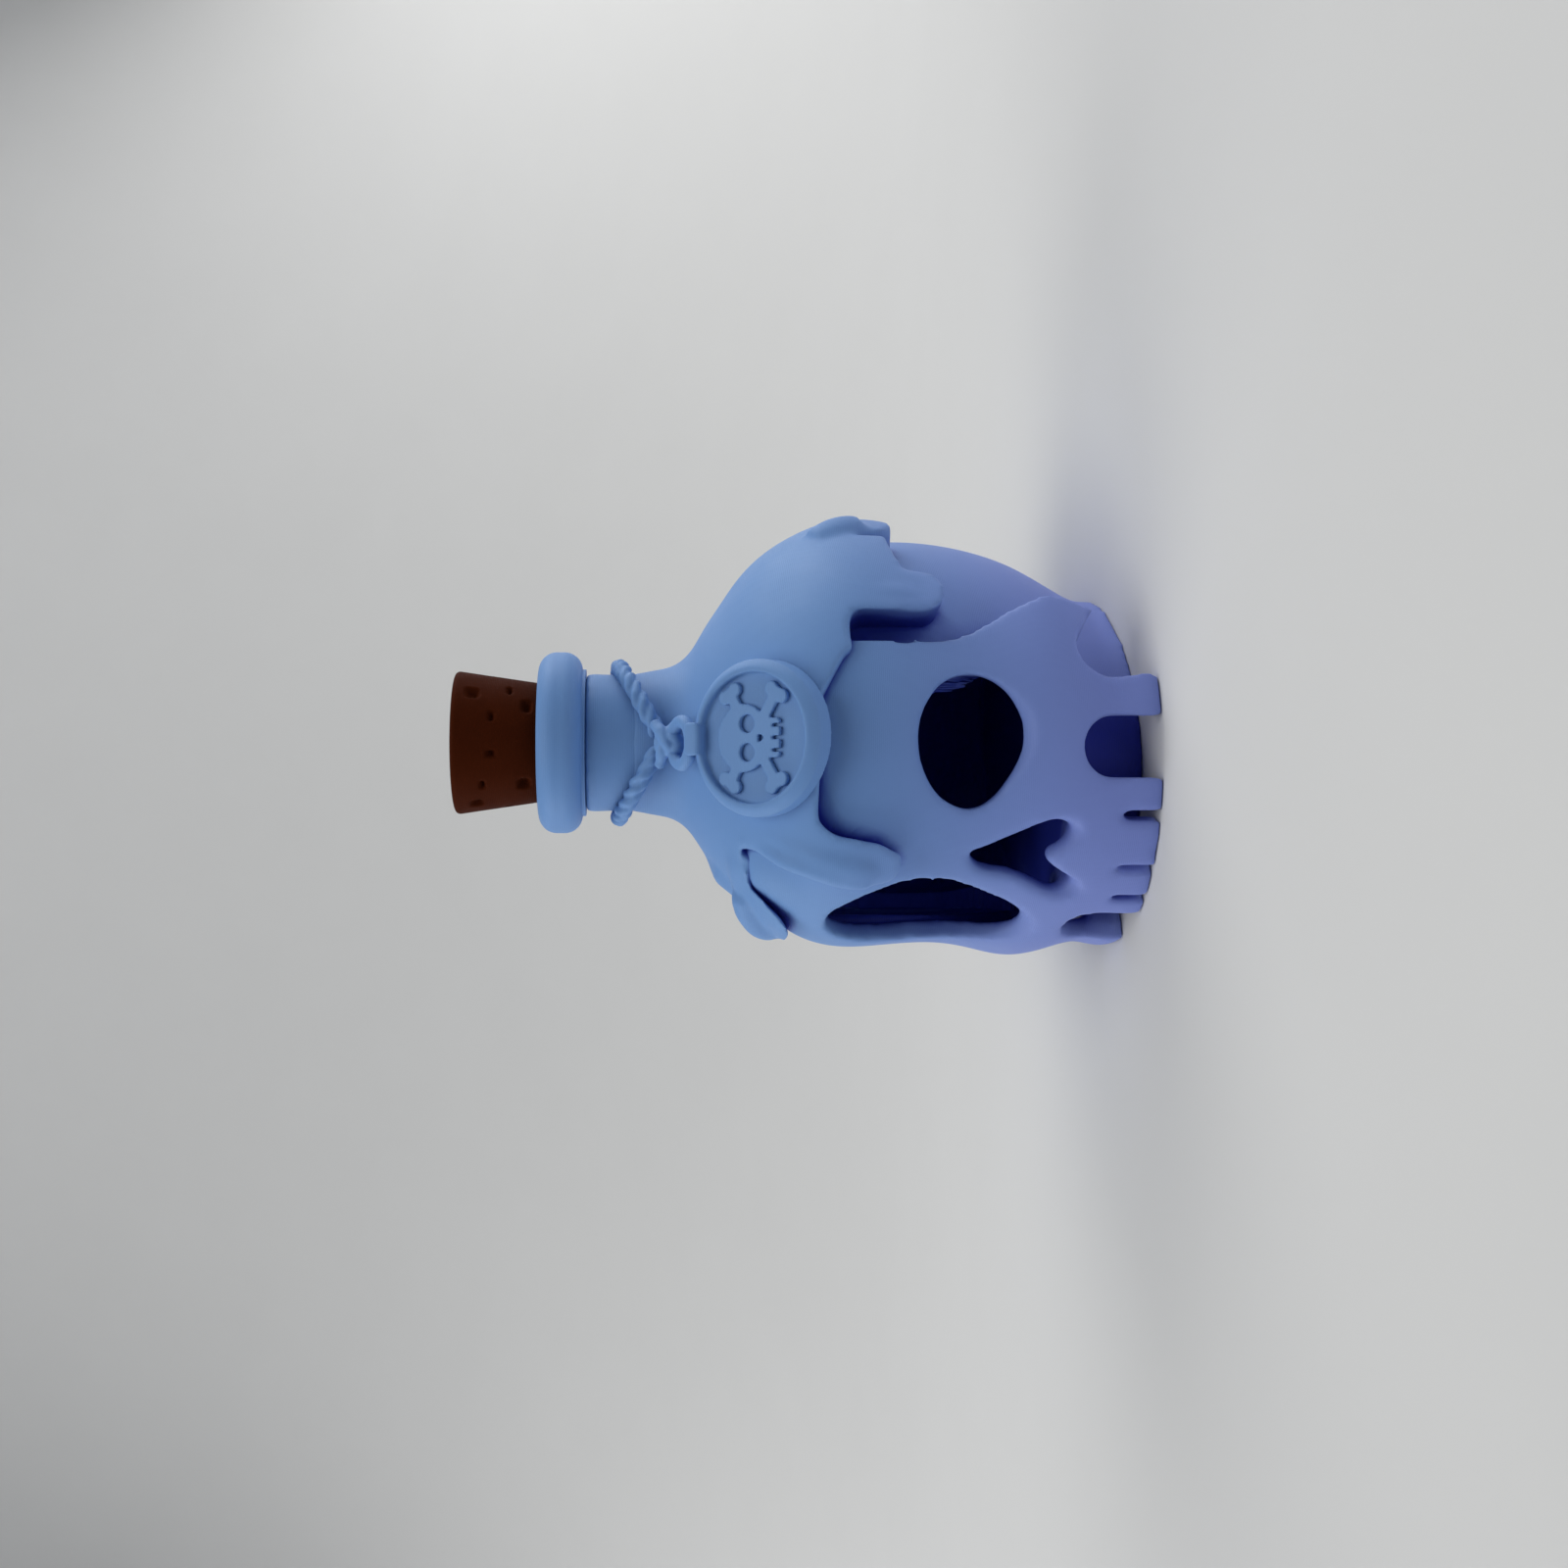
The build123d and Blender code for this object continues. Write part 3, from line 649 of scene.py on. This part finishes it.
class BOTTLE_OT_slime(bpy.types.Operator):
    """Round the slime coat, swell its drips and bed it in the skull"""

    bl_idname = "bottle.slime"
    bl_label = "Slime Coat"

    # Swellings of the coat: the radius and how far it stands proud, in mm, then azimuths in degrees
    # and heights in mm along it
    beads = (
        (6.00, 1.05, ((-34, 45.2), (-48, 44.4), (-62, 44.0), (-74, 44.2))),
        (2.05, 1.80, ((-36, 42.4), (-43, 41.6), (-51, 40.4), (-56, 39.5), (-60, 38.4))),
        (2.40, 0.50, ((-12, 43.2), (-20, 43.5), (-29, 43.3), (-37, 42.4), (-44, 41.4))),
        (1.15, 1.00, (
            (-7, 42.8), (-4.4, 41.4), (-1.8, 38.9), (-1.2, 35.7), (-2.4, 32.5), (-2.8, 30.0),
        )),
        (2.40, 0.85, ((4.0, 40.5), (2.2, 36.5), (0.8, 32.6), (0.2, 30.3), (0.6, 29.0))),
        (2.40, 0.55, ((73.5, 30.5), (72.6, 27.0), (71.8, 23.6))),
        (3.30, 1.90, ((102.0, 34.6), (105.0, 31.6), (107.0, 28.9))),
        (2.20, 0.55, ((140, 32.0), (140, 29.4))),
        (2.20, 0.55, ((166, 30.0), (166, 24.4))),
        (2.40, 0.55, ((194, 27.0), (194, 20.8))),
        (2.00, 0.55, ((222, 33.0), (222, 30.2))),
        (2.20, 0.55, ((248, 31.0), (248, 26.2))),
        (2.00, 0.55, ((272, 36.0), (272, 33.6))),
    )
    # Bays beside the front drip: how far aside of the axis and how high their corners lie, in mm,
    # for the camera's eye, and how far before the axis the cuts start and end
    bays = (
        (
            (-22.6, 36.2), (-21.2, 36.9), (-20.4, 37.4), (-18.75, 39.1), (-16.9, 40.8),
            (-15.6, 41.25), (-14.4, 41.15), (-13.6, 40.6), (-13.35, 39.8), (-13.6, 38.0),
            (-14.2, 36.0), (-20.0, 34.0), (-22.6, 33.5),
        ),
        (
            (-4.7, 32.75), (-9.1, 32.9), (-9.7, 32.4), (-10.6, 31.4), (-11.05, 30.2),
            (-11.3, 28.7), (-11.6, 27.2), (-11.85, 25.75), (-12.3, 24.8), (-13.0, 23.7),
            (-12.2, 21.4), (-4.7, 21.4),
        ),
    )
    bay_reach = (30, -2)
    # Radius of a swelling's ends, as a share of its own
    end_share = 0.72
    # How near the skull a point of the coat's inside lies, in mm
    touch = 0.05
    # Distance from the axis, in mm, from which the coat's outside is looked for
    outside_reach = 60

    def bay_cutter(self):
        """Bmesh of the bays' cuts, which widen away from the eye."""
        stage = bpy.context.scene.stage_settings
        back = heading(stage.azimuth)
        aside = heading(stage.azimuth + tau / 4)
        eye = back * stage.distance + Vector((0, 0, stage.height))
        cutter = bmesh.new()
        for bay in self.bays:
            rings = []
            for depth in self.bay_reach:
                share = (stage.distance - depth * MM) / stage.distance
                ring = []
                for across, height in bay:
                    spot = aside * across * MM + Vector((0, 0, height * MM))
                    ring.append(cutter.verts.new(eye + (spot - eye) * share))
                rings.append(ring)
            near, far = rings
            cutter.faces.new(near)
            cutter.faces.new(far[::-1])
            for index in range(len(bay)):
                after = (index + 1) % len(bay)
                cutter.faces.new((near[after], near[index], far[index], far[after]))
        bmesh.ops.recalc_face_normals(cutter, faces=cutter.faces)
        return cutter

    def swellings(self, coat):
        """Bmesh of cords that follow the coat's outside."""
        outside = BVHTree.FromBMesh(coat)
        cords = []
        for radius, proud, spots in self.beads:
            path = []
            for turn, height in spots:
                outwards = heading(radians(turn))
                far = outwards * self.outside_reach * MM + Vector((0, 0, height * MM))
                place, normal, _, _ = outside.ray_cast(far, -outwards)
                if place:
                    path.append(place - normal * (radius - proud) * MM)
            cords.append((radius * MM, path))
        return corded(cords, "NURBS", self.end_share)

    def execute(self, context):
        settings = context.scene.print_settings
        under = merged_copy("bottle_flask", "skull_face")
        skin = BVHTree.FromBMesh(under)
        coat = merged_copy("drip_coat")
        swellings = self.swellings(coat)
        for vertex in coat.verts:
            place, normal, _, gap = skin.find_nearest(vertex.co)
            if gap < self.touch * MM:
                vertex.co -= normal * settings.slime_bedding
        under.free()
        coat = cut(coat, self.bay_cutter())
        source = fused(joined(coat, swellings), settings.grain)
        eased(source, settings.slime_rounding)
        finished("slime_coat", source, blue(), BODY, ("drip_coat",))
        return {"FINISHED"}


class BOTTLE_OT_painted_shade(bpy.types.Operator):
    """Note how deep each point of the skull and the slime lies, which the material paints as shade
    """

    bl_idname = "bottle.depth"
    bl_label = "Depth"

    # Painted shade fills the inside of the skull below a height in mm and up to an azimuth in
    # degrees on either side. It fades out over the last degrees before that and over the last mm of
    # its width.
    dark_ceiling = 34
    dark_side = 56
    dark_side_fade = 14
    dark_width_fade = 1

    def execute(self, context):
        meshes = [bpy.data.objects[name].data for name in ("skull_flask", "slime_coat")]
        sources = []
        for mesh in meshes:
            source = bmesh.new()
            source.from_mesh(mesh)
            source.normal_update()
            sources.append(source)
        settings = context.scene.print_settings
        hollowed(sources, settings.hollow_width * 2)
        for source in sources:
            layer = source.verts.layers.float["hollow"]
            # Painted shade: points inside the skull, below the ceiling and within the sides, take
            # up to the full share
            for vertex in source.verts:
                place = vertex.co
                aside = abs(atan2(place.x, -place.y))
                if place.z < self.dark_ceiling * MM:
                    within = (settings.inner_width - place.xy.length) / (self.dark_width_fade * MM)
                    ahead = (radians(self.dark_side) - aside) / radians(self.dark_side_fade)
                    vertex[layer] = max(vertex[layer], min(1.0, within, ahead))
        for mesh, source in zip(meshes, sources):
            source.to_mesh(mesh)
            source.free()
        return {"FINISHED"}


class BOTTLE_OT_cork(bpy.types.Operator):
    """Cut the pores into the cork"""

    bl_idname = "bottle.cork"
    bl_label = "Cork"

    # Azimuth in degrees and height in mm of each pore, then its half width and half height in mm
    pores = (
        (76.9, 73.0, 0.62, 0.66), (-29.1, 72.6, 0.55, 0.62), (-5.9, 71.8, 0.42, 0.26),
        (22.3, 70.8, 0.34, 0.42), (54.5, 70.8, 0.46, 0.28), (85.2, 68.8, 0.52, 0.24),
        (-8.9, 67.1, 0.58, 0.60), (67.1, 66.8, 0.66, 0.45), (118.0, 71.6, 0.50, 0.40),
        (137.0, 68.0, 0.62, 0.55), (158.0, 72.8, 0.40, 0.36), (181.0, 69.5, 0.66, 0.52),
        (204.0, 67.2, 0.44, 0.34), (226.0, 72.2, 0.60, 0.62), (251.0, 70.0, 0.38, 0.30),
        (272.0, 67.6, 0.58, 0.46), (293.0, 71.4, 0.50, 0.52), (312.0, 69.0, 0.36, 0.30),
    )
    # Distance from the axis, in mm, past which a point is on the pore's own side
    near_side = 5
    # How far a pore's edge reaches, in its own half sizes, and how square its outline is
    pore_edge = 1.45
    pore_square = 4

    def execute(self, context):
        settings = context.scene.cork_settings
        source = fused(merged_copy("cork"), settings.grain)
        for turn, height, half_width, half_height in self.pores:
            outwards = heading(radians(turn))
            across = heading(radians(turn + 90))
            for vertex in source.verts:
                place = vertex.co
                if place.dot(outwards) < self.near_side * MM:
                    continue
                aside = place.dot(across) / (half_width * MM)
                above = (place.z - height * MM) / (half_height * MM)
                power = self.pore_square
                share = (aside ** power + above ** power) ** (1 / power)
                depth = min(1.0, max(0.0, self.pore_edge - share)) * settings.pore_depth
                vertex.co -= outwards * depth
        finished("cork_stopper", source, brown(), STOPPER, ("cork",))
        return {"FINISHED"}


class BOTTLE_OT_rope(bpy.types.Operator):
    """Twist the rope's strands round the neck and knot them"""

    bl_idname = "bottle.rope"
    bl_label = "Rope and Knot"

    # Cords of the knot: points to its right as seen, upwards and outwards, in mm from its middle
    cords = (
        ((1.9, 1.4, -0.3), (1.0, 0.8, 0.9), (-0.3, 0.1, 1.6), (-1.3, -0.6, 1.6), (-2.1, -1.2, 0.5)),
        ((-2.8, 0.9, -0.3), (-1.6, 0.6, 0.6), (-0.2, 0.3, 1.1), (1.0, -0.4, 1.3), (1.9, -1.0, 0.4)),
        ((-1.1, 0.1, 1.0), (-1.0, -0.8, 2.0), (-0.6, -1.4, 1.9), (-0.2, -1.9, 0.8)),
        ((0.5, 0.1, 1.2), (0.3, -0.7, 1.9), (0.0, -1.2, 1.7), (-0.3, -1.5, 0.9)),
        ((-1.0, 0.9, 0.1), (0.0, 0.9, 0.6), (1.0, 0.9, 0.2)),
    )
    # Knot's middle, outwards from the axis and above the floor, in mm
    knot_reach = 10.1
    knot_height = 50.8
    # Radius of the knot's cords as a share of a strand's, and of their ends as a share of their own
    knot_share = 1.4
    knot_end_share = 0.8
    # Steps along the rope's front bows and along its back
    bow_steps = 60
    back_steps = 110

    def middle_line(self, settings):
        """Points along the rope's middle, from the knot's one side round to its other."""
        ahead = heading(settings.azimuth)
        high = Vector((0, 0, settings.back_height))
        low = Vector((0, 0, settings.front_height))
        sides = []
        for side in (1, -1):
            start = heading(settings.azimuth + side * tau / 4) * settings.reach + high
            end = heading(settings.azimuth + side * settings.gap) * settings.reach + low
            sides.append(bow(start, ahead, end, self.bow_steps))
        back = []
        for step in range(1, self.back_steps):
            turn = settings.azimuth + tau / 4 + tau / 2 * step / self.back_steps
            back.append(heading(turn) * settings.reach + high)
        return sides[0][::-1] + back + sides[1]

    def strands(self, settings):
        """Points of the three strands that wind round the rope's middle."""
        line = self.middle_line(settings)
        paths = [[], [], []]
        run = 0.0
        for index, place in enumerate(line):
            before, after = line[max(index - 1, 0)], line[min(index + 1, len(line) - 1)]
            course = (after - before).normalized()
            run += (place - before).length
            radial = Vector((place.x, place.y, 0))
            radial = (radial - course * radial.dot(course)).normalized()
            crosswise = course.cross(radial)
            for number, path in enumerate(paths):
                turn = tau * (run / settings.lay + number / 3)
                path.append(place + (radial * cos(turn) + crosswise * sin(turn)) * settings.wind)
        return paths

    def execute(self, context):
        settings = context.scene.rope_settings
        print_settings = context.scene.print_settings
        grain = print_settings.trim_grain
        rope = fused(corded([(settings.strand, path) for path in self.strands(settings)]), grain)
        eased(rope, print_settings.trim_rounding)
        uneven(rope, settings.unevenness)
        finished("twisted_rope", rope, blue(), BODY, ("neck_rope",))
        ahead = heading(settings.azimuth)
        rightwards = heading(settings.azimuth + tau / 4)
        middle = ahead * self.knot_reach * MM + Vector((0, 0, self.knot_height * MM))
        cords = []
        for cord in self.cords:
            path = [
                middle + (rightwards * across + Vector((0, 0, up)) + ahead * out) * MM
                for across, up, out in cord
            ]
            cords.append((settings.strand * self.knot_share, path))
        knot = fused(corded(cords, "NURBS", self.knot_end_share), grain)
        eased(knot, print_settings.trim_rounding)
        uneven(knot, settings.unevenness)
        finished("tied_knot", knot, blue(), BODY, ("rope_knot",))
        return {"FINISHED"}


class BOTTLE_OT_medallion(bpy.types.Operator):
    """Dome the rim, round the clasp and fuse both with the disc; round the emblem and the ring"""

    bl_idname = "bottle.medallion"
    bl_label = "Medallion and Ring"

    def domed_rim(self, settings):
        """Bmesh of the rim, whose top falls towards its outside."""
        disc = merged_copy("medallion_disc")
        fronts = [face for face in disc.faces if face.normal.z > 0.1]
        normal = max(fronts, key=lambda face: face.calc_area()).normal.copy()
        disc.free()
        rim = merged_copy("medallion_rim")
        middle = sum((vertex.co for vertex in rim.verts), Vector()) / len(rim.verts)
        aboves = [(vertex.co - middle).dot(normal) for vertex in rim.verts]
        reaches = [
            (vertex.co - middle - normal * above).length for vertex, above in zip(rim.verts, aboves)
        ]
        low, high, near, far = min(aboves), max(aboves), min(reaches), max(reaches)
        rim = fused(rim, settings.trim_grain)
        for vertex in rim.verts:
            above = (vertex.co - middle).dot(normal)
            reach = (vertex.co - middle - normal * above).length
            outwards = min(1.0, max(0.0, (reach - near) / (far - near)))
            upwards = min(1.0, max(0.0, (above - low) / (high - low)))
            vertex.co -= normal * settings.rim_dome * outwards ** 2 * upwards
        return rim

    def execute(self, context):
        settings = context.scene.print_settings
        clasp = fused(merged_copy("rim_clasp"), settings.trim_grain)
        eased(clasp, settings.clasp_rounding)
        medallion = joined(merged_copy("medallion_disc"), self.domed_rim(settings), clasp)
        for name, source, nodes in (
            ("medallion_print", medallion, ("medallion_disc", "medallion_rim", "rim_clasp")),
            ("emblem_print", merged_copy("medallion_emblem"), ("medallion_emblem",)),
            ("ring_print", merged_copy("hanging_ring"), ("hanging_ring",)),
        ):
            source = fused(source, settings.trim_grain)
            eased(source, settings.trim_rounding)
            if name == "ring_print":
                source.normal_update()
                aside = heading(context.scene.rope_settings.azimuth - tau / 4) * settings.ring_shift
                for vertex in source.verts:
                    vertex.co += vertex.normal * settings.ring_swell + aside
            finished(name, source, blue(), BODY, nodes)
        return {"FINISHED"}


class BOTTLE_OT_lip(bpy.types.Operator):
    """Dress the lip"""

    bl_idname = "bottle.lip"
    bl_label = "Lip"

    def execute(self, context):
        dressed("bottle_lip", blue())
        return {"FINISHED"}


class BOTTLE_OT_stage(bpy.types.Operator):
    """Make the sweep, the lights and the camera"""

    bl_idname = "bottle.stage"
    bl_label = "Stage"

    # Lamps: metres to the camera's right, upwards and towards it, from the height that they aim at,
    # then their size in metres and power in watts
    lamps = (
        ("left_softbox", -0.42, 0.16, -0.03, 0.42, 1.08),
        ("right_softbox", 0.42, 0.2, -0.16, 0.42, 1.55),
        ("top_softbox", 0.0, 0.5, 0.22, 0.5, 1.6),
    )
    aim_height = 35 * MM
    ambient_colour = (0.86, 0.93, 1.0, 1)
    ambient_strength = 0.10
    # Sweep in metres: half its floor's width, how far the floor is moved off the bottle, its wall's
    # height and the bend between them
    floor_half = 1.2
    floor_shift = 0.75
    wall_height = 1.1
    bend = 0.32
    # How much lighter the paper's light spots are
    spots = 1.03
    # The photograph frames the bottle off its middle
    camera_shift = (0.1, -0.0263)

    def lamp(self, name, place, aim, size, power):
        light = bpy.data.lights.new(name, "AREA")
        light.shape = "DISK"
        light.size = size
        light.energy = power
        holder = bpy.data.objects.new(name, light)
        holder.location = place
        holder.rotation_euler = (aim - place).to_track_quat("-Z", "Y").to_euler()
        bpy.context.scene.collection.objects.link(holder)

    def sheet(self, turn):
        """Bmesh of the floor and the wall behind the bottle, with a bend between them."""
        sheet = bmesh.new()
        bmesh.ops.create_grid(sheet, x_segments=1, y_segments=1, size=self.floor_half)
        bmesh.ops.translate(sheet, verts=sheet.verts, vec=(0, -self.floor_shift, 0))
        far = [edge for edge in sheet.edges if all(vertex.co.y > 0 for vertex in edge.verts)]
        wall = bmesh.ops.extrude_edge_only(sheet, edges=far)["geom"]
        tops = [part for part in wall if isinstance(part, bmesh.types.BMVert)]
        bmesh.ops.translate(sheet, verts=tops, vec=(0, 0, self.wall_height))
        bmesh.ops.bevel(
            sheet, geom=far, offset=self.bend, segments=24, profile=0.5,
            affect="EDGES", material=-1,
        )
        bmesh.ops.rotate(sheet, verts=sheet.verts, matrix=Matrix.Rotation(turn, 3, "Z"))
        for face in sheet.faces:
            face.smooth = True
        return sheet

    def execute(self, context):
        scene = context.scene
        settings = scene.stage_settings
        turn = settings.azimuth
        back = heading(turn)
        aside = heading(turn + tau / 4)
        upwards = Vector((0, 0, 1))

        paper = Finish("sweep_paper")
        tooth = paper.noise(30.0, 2.0)
        light = [part * self.spots for part in settings.backdrop]
        shade = paper.blend(tooth, settings.backdrop, light)
        seen = paper.lay("ShaderNodeLightPath", output="Is Camera Ray")
        colour = paper.blend(seen, settings.bounce, shade)
        sweep = loose_object("sweep", self.sheet(turn))
        sweep.data.materials.append(
            paper.surface({"Base Color": colour, "Roughness": 0.9, "Specular IOR Level": 0.1})
        )

        world = bpy.data.worlds.new("studio")
        world.use_nodes = True
        scene.world = world
        ambient = world.node_tree.nodes["Background"]
        ambient.inputs["Color"].default_value = self.ambient_colour
        ambient.inputs["Strength"].default_value = self.ambient_strength

        aim = upwards * self.aim_height
        for name, across, up, near, size, power in self.lamps:
            place = aim + aside * across + upwards * up + back * near
            self.lamp(name, place, aim, size, power)

        camera = bpy.data.cameras.new("camera")
        camera.sensor_width = 36
        camera.lens = settings.lens
        camera.shift_x, camera.shift_y = self.camera_shift
        camera.clip_start = 0.01
        camera.clip_end = 20
        holder = bpy.data.objects.new("camera", camera)
        place = back * settings.distance + upwards * settings.height
        holder.matrix_world = Matrix((
            (0, aside.x, back.x, place.x),
            (0, aside.y, back.y, place.y),
            (-1, 0, 0, place.z),
            (0, 0, 0, 1),
        ))
        scene.collection.objects.link(holder)
        scene.camera = holder
        scene.view_settings.view_transform = "Standard"
        return {"FINISHED"}


class BOTTLE_PT_panel(bpy.types.Panel):
    """Sidebar panel with the bottle's steps"""

    bl_idname = "BOTTLE_PT_panel"
    bl_label = "Poison Bottle"
    bl_space_type = "VIEW_3D"
    bl_region_type = "UI"
    bl_category = "Poison Bottle"

    def draw(self, context):
        for step in STEPS:
            self.layout.operator(step.bl_idname)


STEPS = (
    BOTTLE_OT_stage, BOTTLE_OT_skull, BOTTLE_OT_slime, BOTTLE_OT_painted_shade, BOTTLE_OT_lip,
    BOTTLE_OT_rope, BOTTLE_OT_medallion, BOTTLE_OT_cork,
)
GROUPS = {
    "print_settings": PrintSettings,
    "rope_settings": RopeSettings,
    "cork_settings": CorkSettings,
    "stage_settings": StageSettings,
}


def register():
    for kind in (*GROUPS.values(), *STEPS, BOTTLE_PT_panel):
        bpy.utils.register_class(kind)
    for name, kind in GROUPS.items():
        setattr(bpy.types.Scene, name, PointerProperty(type=kind))


def unregister():
    for name in GROUPS:
        delattr(bpy.types.Scene, name)
    for kind in (BOTTLE_PT_panel, *reversed(STEPS), *reversed(GROUPS.values())):
        bpy.utils.unregister_class(kind)


def main():
    register()
    bpy.ops.bottle.stage()
    bpy.ops.bottle.skull()
    bpy.ops.bottle.slime()
    bpy.ops.bottle.depth()
    bpy.ops.bottle.lip()
    bpy.ops.bottle.rope()
    bpy.ops.bottle.medallion()
    bpy.ops.bottle.cork()


if __name__ == "__main__":
    main()
